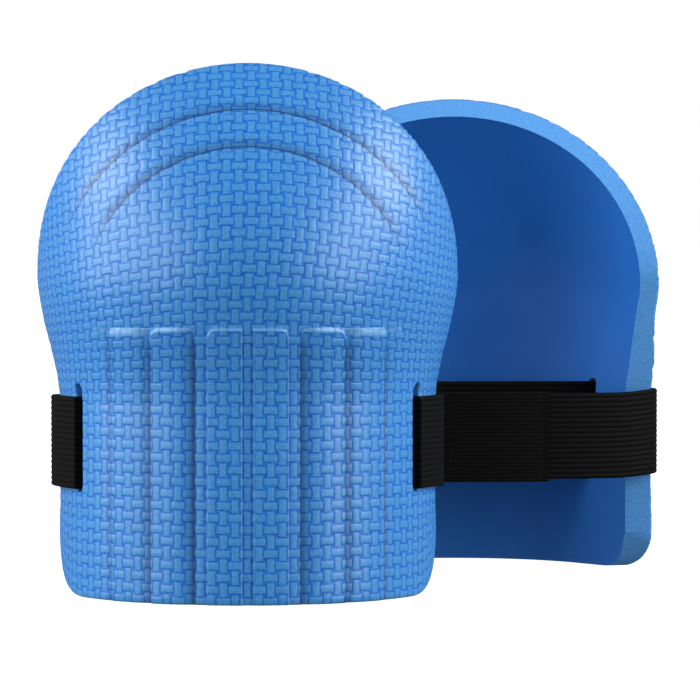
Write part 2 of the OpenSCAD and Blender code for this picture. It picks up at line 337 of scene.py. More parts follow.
def tier_strength(points, tier):
    """1 over the dome, fading to 0 at both ends of a step."""
    turn = np.degrees(np.arctan2(np.abs(points[..., 0]), points[..., 2] - tier[1]))
    return 1 - ease((turn - TIER_FADE_START) / (TIER_FADE_END - TIER_FADE_START))


def tier_rise(points):
    """The face dips towards each line from outside and steps up again inside it."""
    total = 0 * points[..., 0]
    for tier in TIERS:
        d = tier_distance(points, tier)
        outside = -TIER_DIP * np.clip(1 - d / TIER_DIP_W, 0, 1) ** 2
        inside = TIER_STEP * np.clip(1 + d / TIER_STEP_W, 0, 1) ** 2
        total = total + tier_strength(points, tier) * np.where(d > 0, outside, inside)
    return total


def slot_frame(pad, side):
    """Middle of the slot on the outer face, the wall's normal there and the way across it."""
    z = pad.slot_z + np.zeros(1)
    t = np.array([side * SLOT_ANGLE])
    normal = outward(pad, z, t)[0]
    return surface(pad, z, t)[0], normal, np.array([-normal[1], normal[0], 0])


def slot_distance(pad, points, side):
    """Distance from the slot's outline, less than 0 inside the slot."""
    middle, _, across = slot_frame(pad, side)
    w = (points - middle) @ across
    h = np.abs(points[..., 2] - pad.slot_z) - (SLOT_H - SLOT_W) / 2
    far = (points - middle)[..., 0] * side < -30
    d = np.hypot(w, np.maximum(h, 0)) - SLOT_W / 2
    return np.where(far, 99, d)


# ---- Meshes ----

def add_object(name, data):
    piece = bpy.data.objects.new(name, data)
    bpy.context.scene.collection.objects.link(piece)
    return piece


def add_uv(mesh, name, places):
    """A uv layer, from a place for each vertex."""
    loops = np.zeros(len(mesh.loops), int)
    mesh.loops.foreach_get("vertex_index", loops)
    layer = mesh.uv_layers.new(name=name)
    layer.data.foreach_set("uv", np.asarray(places, float)[loops].ravel())


def smooth(mesh, sharp_angle):
    mesh.validate()
    mesh.shade_smooth()
    mesh.set_sharp_from_angle(angle=math.radians(sharp_angle))


def cut_faces(bm, values):
    """Splits the faces along the line where the values, one for each vertex, cross 0."""
    values = np.where(np.abs(values) < 1e-5, 1e-5, values).tolist()
    crossed = []
    for edge in bm.edges:
        a, b = values[edge.verts[0].index], values[edge.verts[1].index]
        if a * b < 0:
            crossed.append((edge, edge.verts[0], a / (a - b)))
    fresh = set()
    for edge, start, part in crossed:
        fresh.add(bmesh.utils.edge_split(edge, start, part)[1])
    faces = {face for vert in fresh for face in vert.link_faces}
    for face in faces:
        ends = [vert for vert in face.verts if vert in fresh]
        if len(ends) == 2:
            bmesh.utils.face_split(face, ends[0], ends[1])
    bm.verts.index_update()


def layer_values(bm, layer):
    """One layer's values, in the order of the vertices."""
    return np.array([vert[layer] for vert in bm.verts])


def grid_mesh(u, v, t, z, w, flip=False):
    """A bmesh of rows and columns, with u, v, t, z and w kept on its vertices. Columns that have
    run together at a row's end share one vertex."""
    bm = bmesh.new()
    layers = [bm.verts.layers.float.new(name) for name in ("u", "v", "t", "z", "w")]
    rows, columns = t.shape
    grid = []
    for r in range(rows):
        line = []
        for c in range(columns):
            if c and abs(t[r, c] - t[r, c - 1]) < 1e-7:
                line.append(line[-1])
                continue
            vert = bm.verts.new((0, 0, 0))
            for layer, values in zip(layers, (u, v, t, z, w)):
                vert[layer] = float(values[r, c])
            line.append(vert)
        grid.append(line)
    for r in range(rows - 1):
        for c in range(columns - 1):
            corners = [grid[r][c], grid[r][c + 1], grid[r + 1][c + 1], grid[r + 1][c]]
            distinct = list(dict.fromkeys(corners))
            if len(distinct) > 2:
                bm.faces.new(distinct[::-1] if flip else distinct)
    bm.verts.index_update()
    return bm, layers, grid


# Extra rows where the shape bends: shares of the dome's height close to the top, steps at both
# ends of a slot, and steps down from the ribs' tops
NEAR_TOP = np.array([0.975, 0.988, 0.996, 0.9992])
SLOT_END_STEPS = (-1.6, -0.8, 0, 0.8, 1.6)
RIB_TOP_STEPS = (-0.14, 0.14, 0.6, 1.2, 1.9, 2.8, 3.8)
LOWEST_ROW = 0.7
# Extra columns at a slot, this far apart, and the columns' margin past the widest row
SLOT_COLUMN_STEP = 0.7
COLUMN_MARGIN = 4
ROW_SAMPLES = 500
# The inner face's columns, and the share of its width between those at a slot
INNER_COLUMNS = 57
INNER_FINE = 0.0075


def outer_rows(pad):
    """The outer face's rows: place on the weave, and height where they cross the middle."""
    tall = np.linspace(0, pad.height, 1200)
    middle = np.stack([0 * tall, section(pad, tall, 0 * tall)[1], tall], axis=-1)
    run = run_along(middle)
    slot_ends = [
        pad.slot_z + side * SLOT_H / 2 + step for side in (-1, 1) for step in SLOT_END_STEPS
    ]
    rib_rows = [RIB_TOP - step for step in RIB_TOP_STEPS]
    near_top = pad.dome_z + (pad.height - pad.dome_z) * NEAR_TOP
    extra = [0, LOWEST_ROW, *slot_ends, *rib_rows, *near_top, pad.height]
    v = weave_lines(0, run[-1], PITCH_V, PHASE_V, np.interp(extra, tall, run))
    return v, np.interp(v, run, tall)


def sampled_rows(pad, middle_z):
    """Angles along each row, up to its end at the side edge, and distances along the face."""
    share = np.linspace(0, 1, ROW_SAMPLES)[None, :]
    t = share * EDGE_ANGLE + 0 * middle_z[:, None]
    over = t - end_angle(pad, row_height(pad, middle_z[:, None], t))
    over[:, -1] = np.maximum(over[:, -1], 1e-9)
    first = np.argmax(over > 0, axis=1)
    index = np.arange(len(middle_z))
    before = np.maximum(first - 1, 0)
    a, b = over[index, before], over[index, first]
    part = np.where(b > a, -a / np.where(b > a, b - a, 1), 0)
    end_t = t[index, before] + part * (t[index, first] - t[index, before])
    end_t[-1] = 0
    t = share * end_t[:, None]
    points = surface(pad, row_height(pad, middle_z[:, None], t), t)
    return t, np.stack([run_along(row) for row in points])


def outer_columns(t, u, pad):
    """Places across the weave of the outer face's columns, from left to right."""
    widest = float(u[:, -1].max()) + COLUMN_MARGIN
    edges = [arc_at(pad, x) for rib in RIBS for x in rib[:2]]
    slot_u = float(np.interp(SLOT_ANGLE, t[0], u[0]))
    extra = [0.0, -widest, widest]
    for side in (-1, 1):
        extra += [side * round(e + step * RIB_EDGE, 3) for e in edges for step in (-1, 1)]
        extra += [side * (slot_u + SLOT_COLUMN_STEP * step) for step in range(-6, 7)]
    extra = sorted(set(extra))
    extra = [x for i, x in enumerate(extra) if i == 0 or x - extra[i - 1] > 0.1]
    return weave_lines(-widest, widest, PITCH_U, PHASE_U, extra)


def outer_grid(pad):
    """Rows and columns of the outer face, on the weave's own lines."""
    v, middle_z = outer_rows(pad)
    t, u = sampled_rows(pad, middle_z)
    columns = outer_columns(t, u, pad)
    over_dome = ease((middle_z - RIB_TOP) / STRETCH_HEIGHT)[:, None]
    placed = columns[None, :] * (1 + STRETCH * over_dome) + DRIFT * over_dome
    side, size = np.sign(placed), np.minimum(np.abs(placed), u[:, -1:])
    all_t = np.stack([side[r] * np.interp(size[r], u[r], t[r]) for r in range(len(v))])
    all_u = side * size
    all_w = (all_u - DRIFT * over_dome) / (1 + STRETCH * over_dome)
    all_z = row_height(pad, middle_z[:, None], all_t)
    all_v = v[:, None] + 0 * all_t
    return all_u, all_v, all_t, all_z, all_w, u[:, -1]


def inner_grid(pad, end_z):
    """Level rows of the inner face, each at the height where an outer row ends."""
    s = rise(pad, end_z)
    z = np.where(end_z <= pad.dome_z, end_z, pad.dome_z + s * (pad.height - WALL - pad.dome_z))
    low_end = float(end_angle(pad, 0.0, WALL))
    slot_share = inner_slot_angle(pad) / low_end
    fine = [side * slot_share + step * INNER_FINE for side in (-1, 1) for step in range(-6, 7)]
    spread = np.linspace(-1, 1, INNER_COLUMNS)
    shares = [x for x in spread if np.min(np.abs(np.array(fine) - x)) > INNER_FINE + 0.0005]
    shares = np.array(sorted(shares + fine))
    t = shares[None, :] * end_angle(pad, z, WALL)[:, None]
    t[-1] = 0
    z = z[:, None] + 0 * t
    return t, z


def inner_slot_angle(pad):
    """The angle round the inner face where the slot comes out."""
    middle, _, across = slot_frame(pad, 1)
    t = np.linspace(0.5, 1.3, 400)
    points = surface(pad, pad.slot_z + 0 * t, t, WALL)
    return float(t[np.argmin(np.abs((points - middle) @ across))])


def edge_distance(pad, u, v, ends_u, ends_v):
    """Distance along the outer face from its free edge."""
    side = np.interp(v, ends_v, ends_u) - np.abs(u)
    top = ends_v > pad.dome_z
    order = np.argsort(ends_u[top])
    above = np.interp(np.abs(u), ends_u[top][order], ends_v[top][order]) - v
    side, above = np.maximum(side, 0), np.maximum(above, 0)
    both = side * above / np.sqrt(side ** 2 + above ** 2 + 1e-9)
    return np.minimum(np.where(v > pad.dome_z, both, side), v)


def rounding(distance, radius):
    """How far a rounded edge lies below the face at this distance from it."""
    left = np.clip(1 - distance / radius, 0, 1)
    return radius * (1 - np.sqrt(1 - left ** 2))


def zip_rows(first, second, closed=False):
    """Triangles between two rows of (share, index), in order."""
    faces = []
    a, b = list(first), list(second)
    if closed:
        a.append((a[0][0] + 2 * math.pi, a[0][1]))
        b.append((b[0][0] + 2 * math.pi, b[0][1]))
    i = j = 0
    while i < len(a) - 1 or j < len(b) - 1:
        step_a = j == len(b) - 1 or (i < len(a) - 1 and a[i + 1][0] < b[j + 1][0])
        if step_a:
            faces.append((a[i][1], a[i + 1][1], b[j][1]))
            i += 1
        else:
            faces.append((a[i][1], b[j + 1][1], b[j][1]))
            j += 1
    return faces


def slot_loops(bm, points, pad, side):
    """The vertices round a slot's opening, in order of their angle round its middle."""
    middle, _, across = slot_frame(pad, side)
    found = {}
    for edge in bm.edges:
        if len(edge.link_faces) != 1:
            continue
        for vert in edge.verts:
            p = points[vert.index]
            w, h = float((p - middle) @ across), p[2] - pad.slot_z
            if p[0] * side > 0 and abs(w) < 4 and abs(h) < SLOT_H / 2 + 2:
                found[vert.index] = math.atan2(h, w)
    return sorted((angle, index) for index, angle in found.items())


def grid_surface(bm, layers, pad, inset):
    """Places of a grid mesh's vertices on the shell's outer or inner face."""
    t, z = layer_values(bm, layers[2]), layer_values(bm, layers[3])
    return surface(pad, z, t, inset)


def cut_slots(bm, layers, pad, inset):
    """Cuts both slots out of a face of the shell."""
    for side in (-1, 1):
        for level in (0, SLOT_ROUND):
            cut_faces(bm, slot_distance(pad, grid_surface(bm, layers, pad, inset), side) - level)
        inside = slot_distance(pad, grid_surface(bm, layers, pad, inset), side)
        gone = [f for f in bm.faces if np.mean([inside[v.index] for v in f.verts]) < -0.02]
        bmesh.ops.delete(bm, geom=gone, context="FACES")
        bm.verts.index_update()


def sharpen_borders(mesh):
    """Marks the edges between the skin, the cut edge and the inner face as sharp."""
    bm = bmesh.new()
    bm.from_mesh(mesh)
    for edge in bm.edges:
        if len({face.material_index for face in edge.link_faces}) > 1:
            edge.smooth = False
    bm.to_mesh(mesh)
    bm.free()


def outer_face(pad):
    """The woven outer face: its bmesh and first grid, its vertices' places before and after the
    relief, their angles and weave places, and the height where each row ends."""
    u, v, t, z, w, ends_u = outer_grid(pad)
    ends_v = v[:, 0]
    outer, layers, grid = grid_mesh(u, v, t, z, w)
    for tier in TIERS:
        for level in (TIER_EDGE, -TIER_EDGE):
            points = grid_surface(outer, layers, pad, 0)
            off = tier_distance(points, tier) - level
            off = np.where(tier_strength(points, tier) > 0, off, 9)
            cut_faces(outer, off)
    cut_slots(outer, layers, pad, 0)
    ou, ov, ot, oz, ow = (layer_values(outer, layer) for layer in layers)
    flat = surface(pad, oz, ot)
    normal = outward(pad, np.minimum(oz, pad.height - 0.01), ot)
    height = rib_rise(pad, ou, oz) + tier_rise(flat)
    height += WEAVE_DEPTH * (weave_height(ow / PITCH_U - PHASE_U, ov / PITCH_V - PHASE_V) - 1)
    height -= rounding(edge_distance(pad, ou, ov, ends_u, ends_v), EDGE_ROUND)
    slot_off = np.minimum(slot_distance(pad, flat, -1), slot_distance(pad, flat, 1))
    height -= rounding(np.maximum(slot_off, 0), SLOT_ROUND)
    return SimpleNamespace(
        bm=outer, grid=grid, flat=flat, points=flat + normal * height[:, None],
        t=ot, weave=np.stack([ow, ov], axis=-1), end_z=z[:, -1],
    )


def inner_face(pad, end_z):
    """The smooth inner face, with a row for each row of the outer one."""
    t, z = inner_grid(pad, end_z)
    inner, layers, grid = grid_mesh(t, z, t, z, t, flip=True)
    cut_slots(inner, layers, pad, WALL)
    t, z = layer_values(inner, layers[2]), layer_values(inner, layers[3])
    return SimpleNamespace(
        bm=inner, grid=grid, points=surface(pad, z, t, WALL),
        t=t, weave=np.stack([t * INNER_UV_SCALE, z], axis=-1),
    )


def cut_edge_faces(pad, outer, inner):
    """The faces between the outer and the inner face: side edges, bottom and slots."""
    shift = len(outer.points)
    edge_faces = []
    for side in (0, -1):
        for r in range(len(outer.grid) - 1):
            a, b = outer.grid[r][side].index, outer.grid[r + 1][side].index
            c, d = inner.grid[r + 1][side].index + shift, inner.grid[r][side].index + shift
            edge_faces.append([a, b, c, d] if side else [d, c, b, a])
    first = [(outer.t[x.index] / EDGE_ANGLE, x.index) for x in dict.fromkeys(outer.grid[0])]
    low_end = float(end_angle(pad, 0.0, WALL))
    second = [(inner.t[x.index] / low_end, x.index + shift) for x in dict.fromkeys(inner.grid[0])]
    edge_faces += [face[::-1] for face in zip_rows(first, second)]
    for side in (-1, 1):
        a = slot_loops(outer.bm, outer.points, pad, side)
        b = slot_loops(inner.bm, inner.points, pad, side)
        b = [(angle, index + shift) for angle, index in b]
        edge_faces += [list(face) for face in zip_rows(a, b, closed=True)]
    return edge_faces


def foam_shell(pad):
    """The whole shell: woven outer face, smooth inner face, cut edges and slots."""
    outer = outer_face(pad)
    inner = inner_face(pad, outer.end_z)
    shift = len(outer.points)
    skin = [[vert.index for vert in face.verts] for face in outer.bm.faces]
    inside = [[vert.index + shift for vert in face.verts] for face in inner.bm.faces]
    cut = cut_edge_faces(pad, outer, inner)
    mesh = bpy.data.meshes.new(f"{pad.name}_foam")
    points = np.concatenate([outer.points, inner.points])
    mesh.from_pydata(to_row_frame(pad, points).tolist(), [], skin + inside + cut)
    kinds = [0] * len(skin) + [2] * len(inside) + [1] * len(cut)
    mesh.polygons.foreach_set("material_index", kinds)
    add_uv(mesh, "weave", np.concatenate([outer.weave, inner.weave]))
    add_uv(mesh, "front", np.concatenate([outer.flat, inner.points])[:, [0, 2]])
    outer.bm.free()
    inner.bm.free()
    smooth(mesh, 58)
    sharpen_borders(mesh)
    return add_object(f"{pad.name}_foam", mesh)


# ---- Webbing ----

WEBBING_STEP = 1.2
STRAP_RIBS = 17
STRAP_RIB_DEPTH = 0.24
TAB_RIBS = 24
TAB_RIB_DEPTH = 0.1
PATCH_ROWS = 22
PATCH_ROW_DEPTH = 0.08
PATCH_MARGIN = 1
# The pressed line of the tab's hem: its distance from the end, half width and depth
HEM_INSET = 2.4
HEM_HALF_W = 0.5
HEM_DEPTH = 0.35
# Length over which the strap falls to its sag, or rises to its lift
SAG_RUN = 25
HALF_DEGREE = 0.0087


def off_section(pad, z, t, distance):
    """A point a set distance outside the shell's face, seen from above."""
    a = np.array(section(pad, z, t - HALF_DEGREE))
    b = np.array(section(pad, z, t + HALF_DEGREE))
    d = (b - a) / np.linalg.norm(b - a)
    return np.array(section(pad, z, t)) + distance * np.array([d[1], -d[0]])


def rim_x(pad):
    """Half width of the strap's arc: the middle of its thickness where it passes the rim."""
    distance = GAP + STRAP_T / 2 + pad.bulge
    return off_section(pad, pad.strap_z + pad.strap_w, EDGE_ANGLE, distance)[0]


def back_point(pad, a, offset=0.0):
    """A point of the strap behind the leg: half an ellipse from rim to rim."""
    wide, deep = rim_x(pad), pad.bow
    normal = np.array([math.cos(a) / wide, math.sin(a) / deep])
    normal /= np.linalg.norm(normal)
    return np.array([wide * math.cos(a), deep * math.sin(a)]) + offset * normal


def back_angle(pad, x):
    """The angle round the arc at which the strap is at x."""
    return math.acos(x / rim_x(pad))


def back_path(pad, start, end, offset, steps):
    """Part of the arc behind the leg; offset is a number or a function of the angle."""
    angles = np.linspace(start, end, steps + 1)
    return np.array([
        back_point(pad, a, offset(a) if callable(offset) else offset) for a in angles
    ])


def resample(path, step):
    """The same path with points an even step apart."""
    lengths = run_along(path)
    count = max(2, int(round(lengths[-1] / step)))
    even = np.linspace(0, lengths[-1], count + 1)
    return np.stack([np.interp(even, lengths, path[:, k]) for k in (0, 1)], axis=-1), even


def webbing(
    name, pad, path, low_z, width,
    thickness=STRAP_T, ribs=STRAP_RIBS, rib_depth=STRAP_RIB_DEPTH, hems=(), drop=None,
):
    """A flat strap along a path seen from above, with ribs along both of its faces. hems are
    (place along the path, half width, depth) of pressed lines across it, and drop gives how far the
    strap hangs down, from a place along it and its length."""
    line, run = resample(np.asarray(path, float), WEBBING_STEP)
    tangent = np.gradient(line, axis=0)
    tangent /= np.linalg.norm(tangent, axis=1, keepdims=True)
    normal = np.stack([-tangent[:, 1], tangent[:, 0]], axis=-1)
    per_rib = 6
    count = ribs * per_rib
    across = np.linspace(0, 1, count + 1)
    bump = rib_depth * (1 - np.abs(np.sin(math.pi * across * ribs)) ** 0.7)
    edge = np.minimum(across, 1 - across) * width
    half = thickness / 2 - bump - 0.45 * thickness * np.clip(1 - edge / 0.7, 0, 1) ** 2
    points, uvs = [], []
    for i in range(len(line)):
        fall = drop(run[i], run[-1]) if drop else 0.0
        press = sum(depth * math.exp(-((run[i] - place) / wide) ** 2) for place, wide, depth in hems)
        for face in (1, -1):
            for k in range(count + 1):
                p = line[i] + normal[i] * face * max(0.1, half[k] - press)
                points.append((p[0], p[1], low_z + across[k] * width - fall))
                uvs.append((run[i], across[k] * width + (face < 0) * 2 * width))
    row = 2 * (count + 1)
    faces = []
    for i in range(len(line) - 1):
        for k in range(count):
            a = i * row + k
            faces.append([a, a + 1, a + row + 1, a + row])
            b = a + count + 1
            faces.append([b, b + row, b + row + 1, b + 1])
        for k in (0, count):
            a, b = i * row + k, i * row + k + count + 1
            faces.append([a, a + row, b + row, b] if k == 0 else [a, b, b + row, a + row])
    for i in (0, len(line) - 1):
        for k in range(count):
            a, b = i * row + k, i * row + k + count + 1
            faces.append([a, b, b + 1, a + 1] if i == 0 else [a, a + 1, b + 1, b])
    return soft_object(name, pad, points, faces, uvs)


def soft_object(name, pad, points, faces, uvs):
    """A smooth piece from local points, with a uv for each of them."""
    mesh = bpy.data.meshes.new(name)
    mesh.from_pydata(to_row_frame(pad, points).tolist(), [], faces)
    add_uv(mesh, "weave", uvs)
    smooth(mesh, 60)
    return add_object(name, mesh)


def smooth_path(corners, rounds):
    """A path whose corners are cut back in turn, so that the strap bends softly."""
    path = np.array(corners, float)
    for _ in range(rounds):
        a, b = path[:-1], path[1:]
        inner = np.stack([a * 0.75 + b * 0.25, a * 0.25 + b * 0.75], axis=1).reshape(-1, 2)
        path = np.concatenate([path[:1], inner[1:-1], path[-1:]])
    return path


def wrap_path(pad):
    """From the rim along the outer face to the slot, through it and to the inside."""
    offset = GAP + STRAP_T / 2
    z = pad.strap_z + pad.strap_w
    middle, normal, _ = slot_frame(pad, 1)
    middle, normal = middle[:2], normal[:2] / np.linalg.norm(normal[:2])
    steps = 24
    outside = [
        off_section(
            pad, z, EDGE_ANGLE - (EDGE_ANGLE - SLOT_ANGLE) * i / steps,
            offset + pad.bulge * (1 - i / steps),
        )
        for i in range(steps)
    ]
    corner = [middle + normal * offset * 1.3, middle - normal * (WALL + 1.2)]
    return outside + corner


def strap_band(pad):
    """From rim to rim through both slots and across the inside of the pad."""
    half = np.array(wrap_path(pad))
    other = half[::-1] * np.array([-1, 1])
    path = smooth_path(np.concatenate([half, other]), 2)
    return webbing(
        f"{pad.name}_inner_band", pad, path, pad.strap_z, pad.strap_w,
        drop=lambda run, total: -pad.lift * float(ease(min(run, total - run) / SAG_RUN)),
    )


def hanging(pad):
    """The strap behind the leg sags from the rim on."""
    return lambda run, total: pad.sag * float(ease(run / SAG_RUN))


def hook_strap(pad):
    """The arm and its tab in one length of webbing, which climbs onto the lap between RAMP_START and
    RAMP_END.
    """
    def lap(a):
        return LAP_OFFSET * float(ease((a - RAMP_START) / (RAMP_END - RAMP_START)))

    path = back_path(pad, START_ANGLE, back_angle(pad, TAB_END_X), lap, 120)
    total = float(run_along(path)[-1])
    return webbing(
        f"{pad.name}_hook_strap", pad, path, pad.strap_z - TAB_SPREAD / 2,
        pad.strap_w + TAB_SPREAD, ribs=TAB_RIBS, rib_depth=TAB_RIB_DEPTH,
        hems=[(total - HEM_INSET, HEM_HALF_W, HEM_DEPTH)], drop=hanging(pad),
    )


def loop_strap(pad):
    """The arm that lies under the tab."""
    path = back_path(pad, math.pi - START_ANGLE, back_angle(pad, LOOP_END_X), 0, 120)
    name = f"{pad.name}_loop_strap"
    return webbing(name, pad, path, pad.strap_z, pad.strap_w, drop=hanging(pad))


def patch(pad, name, start_x, end_x, offset):
    """A hook or loop patch that follows the strap's arc."""
    path = back_path(pad, back_angle(pad, start_x), back_angle(pad, end_x), offset, 60)
    return webbing(
        f"{pad.name}_{name}", pad, path, pad.strap_z - pad.sag + PATCH_MARGIN,
        pad.strap_w - 2 * PATCH_MARGIN, PATCH_T, PATCH_ROWS, PATCH_ROW_DEPTH,
    )


STITCH_L = 2.4
STITCH_PITCH = 3.3
STITCH_D = 0.5


def stitches(pad, name, places, offset):
    """Rows of separate stitches: each is a short capsule, pulled in at its ends."""
    around, along = 8, 9
    count = int((pad.strap_w - 4) // STITCH_PITCH)
    first = pad.strap_z - pad.sag + (pad.strap_w - (count - 1) * STITCH_PITCH - STITCH_L) / 2
    points, faces, uvs = [], [], []
    for x in places:
        middle = back_point(pad, back_angle(pad, x), offset)
        for n in range(count):
            base = len(points)
            for i in range(along):
                part = i / (along - 1)
                radius = STITCH_D / 2 * math.sqrt(max(0.02, 1 - (2 * part - 1) ** 4))
                for k in range(around):
                    a = 2 * math.pi * k / around
                    points.append((
                        middle[0] + radius * math.cos(a),
                        middle[1] + radius * math.sin(a),
                        first + n * STITCH_PITCH + part * STITCH_L,
                    ))
                    uvs.append((part, k / around))
            for i in range(along - 1):
                for k in range(around):
                    a = base + i * around + k
                    b = base + i * around + (k + 1) % around
                    faces.append([a, b, b + around, a + around])
            faces.append([base + k for k in range(around)][::-1])
            faces.append([base + (along - 1) * around + k for k in range(around)])
    return soft_object(f"{pad.name}_{name}", pad, points, faces, uvs)


# ---- Materials ----

class Nodes:
    """A material's node tree, with short calls to add and join nodes."""

    def __init__(self, name):
        self.material = bpy.data.materials.new(name)
        self.material.use_nodes = True
        self.tree = self.material.node_tree
        self.shader = self.tree.nodes["Principled BSDF"]

    def join(self, source, target):
        """Sets a socket to a number or colour, or links another socket to it."""
        if isinstance(source, (int, float, tuple)):
            target.default_value = source
        else:
            self.tree.links.new(source, target)

    def add(self, kind, sockets, output=0, **settings):
        """Adds a node with its settings, joins its sockets and gives one of its outputs."""
        node = self.tree.nodes.new(kind)
        for name, value in settings.items():
            setattr(node, name, value)
        for key, source in sockets.items():
            self.join(source, node.inputs[key])
        return node.outputs[output]

    def math(self, operation, a, b=0.0, c=0.0):
        return self.add("ShaderNodeMath", {0: a, 1: b, 2: c}, operation=operation)

    def plus(self, a, b):
        return self.math("ADD", a, b)

    def minus(self, a, b):
        return self.math("SUBTRACT", a, b)

    def times(self, a, b):
        return self.math("MULTIPLY", a, b)

    def most(self, a, b):
        return self.math("MAXIMUM", a, b)

    def size(self, a):
        return self.math("ABSOLUTE", a)

    def step(self, value, start, end):
        """0 at start and 1 at end, with a smooth way between."""
        sockets = {0: value, 1: start, 2: end}
        return self.add("ShaderNodeMapRange", sockets, interpolation_type="SMOOTHSTEP")

    def mix(self, factor, a, b):
        """Colour a where the factor is 0 and colour b where it is 1."""
        return self.add("ShaderNodeMix", {0: factor, 6: a, 7: b}, 2, data_type="RGBA")

    def choose(self, factor, a, b):
        """Number a where the factor is 0 and number b where it is 1."""
        return self.add("ShaderNodeMix", {0: factor, 2: a, 3: b}, data_type="FLOAT")

    def place(self):
        """The object's own coordinates, in metres."""
        return self.add("ShaderNodeTexCoord", {}, "Object")

    def noise(self, scale, detail, roughness):
        sockets = {"Vector": self.place(), "Scale": scale, "Detail": detail, "Roughness": roughness}
        return self.add("ShaderNodeTexNoise", sockets)

    def cells(self, scale):
        """Distance from the nearest middle of a field of small cells."""
        sockets = {"Vector": self.place(), "Scale": scale}
        return self.add("ShaderNodeTexVoronoi", sockets, "Distance")

    def uv(self, layer="weave"):
        """The two values of a uv layer, in millimetres."""
        place = self.add("ShaderNodeUVMap", {}, uv_map=layer)
        return [self.add("ShaderNodeSeparateXYZ", {0: place}, axis) for axis in (0, 1)]

    def bump(self, height, strength, distance):
        sockets = {"Height": height, "Strength": strength, "Distance": distance}
        return self.add("ShaderNodeBump", sockets)

    def finish(self, color, roughness, normal, **values):
        """Joins the shader's main sockets and sets its other values."""
        self.join(color, self.shader.inputs["Base Color"])
        self.join(roughness, self.shader.inputs["Roughness"])
        self.join(normal, self.shader.inputs["Normal"])
        for name, value in values.items():
            self.shader.inputs[name.replace("_", " ")].default_value = value
        return self.material


def rgb(r, g, b):
    """A colour given as it looks on a screen, 0 to 255, as linear light."""
    parts = [c / 255 for c in (r, g, b)]
    linear = [c / 12.92 if c <= 0.04045 else ((c + 0.055) / 1.055) ** 2.4 for c in parts]
    return (*linear, 1.0)


def crease(n, distance, width):
    """1 on a line, falling to 0 at this distance from it."""
    return n.step(n.size(distance), width, 0.0)


def tier_painted_light(n, x, z):
    """Painted shade and painted highlight of the dome steps: a narrow dark line of painted shade,
    soft painted shade outside, and a pale painted highlight inside.
    """
    wide = n.size(x)
    dark, light = 0.0, 0.0
    for radius, middle_z in TIERS:
        up = n.minus(z, middle_z)
        square = n.plus(n.times(x, x), n.times(up, up))
        distance = n.minus(n.math("SQRT", square), radius)
        turn = n.math("ARCTAN2", wide, up)
        strength = n.step(turn, math.radians(TIER_FADE_END), math.radians(TIER_FADE_START))
        # Painted shade: soft darkening outside each step, and a narrow dark line at the step.
        soft = n.times(n.step(distance, 4.5, 0.0), n.step(distance, -0.2, 0.1))
        thin_painted_shade = crease(n, n.plus(distance, 0.15), 0.75)
        line = n.most(thin_painted_shade, n.times(soft, 0.4))
        dark = n.most(dark, n.times(line, strength))
        # Painted highlight: a pale band just inside each step.
        painted_lip_highlight = crease(n, n.plus(distance, 1.5), 0.6)
        light = n.most(light, n.times(painted_lip_highlight, n.times(strength, 0.12)))
    return dark, light


def outline_distance(n, rib, size, z):
    """The same distance from a rib's outline as in its mesh."""
    start, end = arc_at(PADS[0], rib[0]), arc_at(PADS[0], rib[1])
    middle = (start + end) / 2
    corner = n.choose(n.math("GREATER_THAN", size, middle), rib[5], rib[6])
    across = n.size(n.minus(size, middle))
    across = n.plus(n.minus(across, (end - start) / 2), corner)
    up = n.plus(n.minus(z, RIB_TOP), corner)
    out_across, out_up = n.most(across, 0.0), n.most(up, 0.0)
    square = n.plus(n.times(out_across, out_across), n.times(out_up, out_up))
    inside = n.math("MINIMUM", n.most(across, up), 0.0)
    return n.minus(n.plus(n.math("SQRT", square), inside), corner)


# How strongly each rib's sides and its top get a pale painted highlight, and its foot a dark line of
# painted shade
RIB_PAINTED_LIGHT_TONES = [(0.3, 0.45, 0.0), (0.12, 0.8, 0.85), (0.0, 0.75, 1.0), (0.0, 0.45, 0.6)]


def rib_painted_light(n, u, z):
    """Painted highlight and painted shade of the ribs: pale painted highlights on their edges and
    tops, and a dark line of painted shade at the foot with soft painted shade beside it.
    """
    size = n.size(u)
    near_top = n.step(z, RIB_TOP - 5, RIB_TOP - 1)
    dark, light = 0.0, 0.0
    for rib, (side_highlight_tone, top_highlight_tone, foot_shade_tone) in zip(RIBS, RIB_PAINTED_LIGHT_TONES):
        distance = outline_distance(n, rib, size, z)
        # Painted highlight: a pale line along each rib's outline, stronger near its top.
        edge = crease(n, n.plus(distance, 0.3), 0.4)
        edge_highlight_tone = n.choose(near_top, side_highlight_tone, top_highlight_tone)
        light = n.most(light, n.times(edge, edge_highlight_tone))
        # Painted highlight: a pale band over the bevel at the rib's top.
        bevel = n.times(n.step(z, RIB_TOP - rib[4] - 0.6, RIB_TOP - rib[4] + 0.4), 0.5)
        bevel = n.times(bevel, n.step(distance, 0.1, -0.1))
        light = n.most(light, n.times(bevel, top_highlight_tone))
        # Painted shade: a dark line at the rib's foot, with soft painted shade beside it.
        away = n.minus(size, arc_at(PADS[0], rib[0]))
        soft = n.times(n.step(away, 5.0, 0.0), n.step(away, -0.15, 0.05))
        foot = n.most(crease(n, n.plus(away, 0.2), 0.8), n.times(soft, 0.4))
        foot = n.times(foot, n.step(z, RIB_TOP - 1, RIB_TOP - 9))
        dark = n.most(dark, n.times(foot, foot_shade_tone))
    return dark, light


